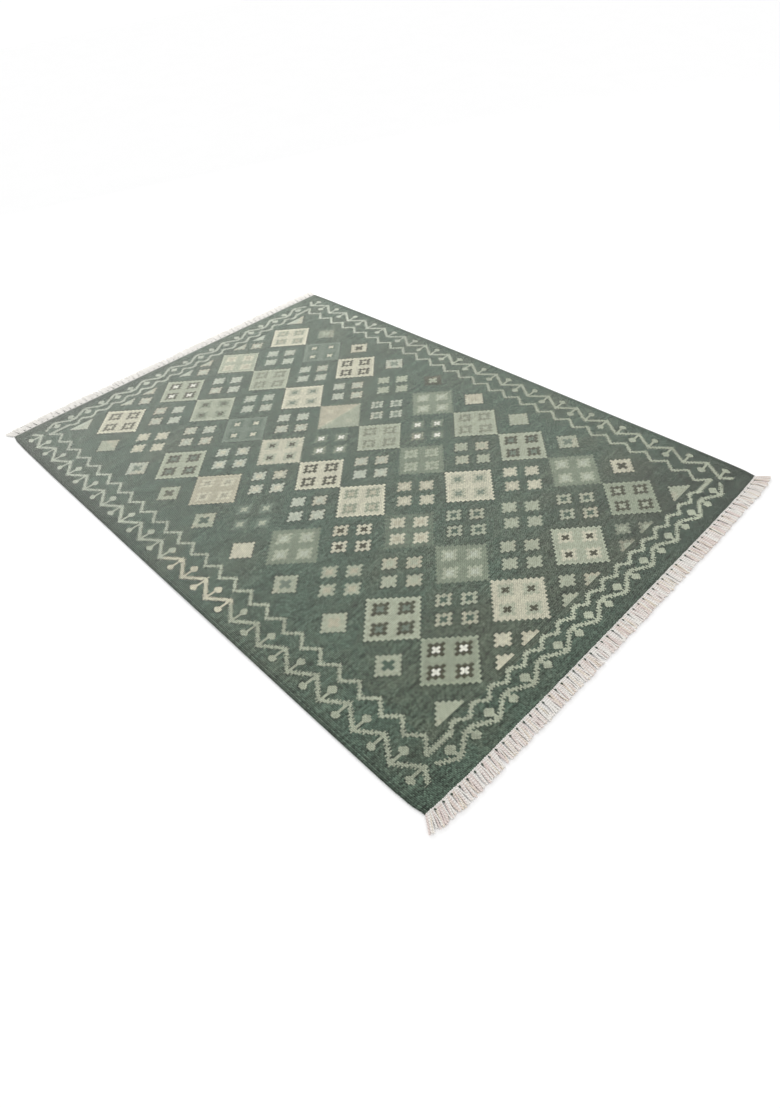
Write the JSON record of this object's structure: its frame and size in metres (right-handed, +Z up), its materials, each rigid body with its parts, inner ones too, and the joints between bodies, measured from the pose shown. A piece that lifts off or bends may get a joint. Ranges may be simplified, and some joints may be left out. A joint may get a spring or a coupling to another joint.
{
  "type": "dhurrie rug",
  "caption": "Flat-woven wool floor rug with stepped diamonds, meander borders, corded long sides and a knotted warp fringe at both ends.",
  "frame": {"origin": "centre of the rug's box on the floor it lies on", "axes": "+X along the rug towards its near fringed end, +Y across it, +Z up from the floor"},
  "size_m": [2.4998, 1.721, 0.006],
  "materials": {
    "wool": "matt flat-woven wool, grey-green with pale stepped motifs",
    "fringe_yarn": "matt undyed cotton warp yarn"
  },
  "bodies": {
    "root": {"rug": "wool", "fringe_near": "fringe_yarn", "fringe_far": "fringe_yarn"}
  },
  "joints": []
}
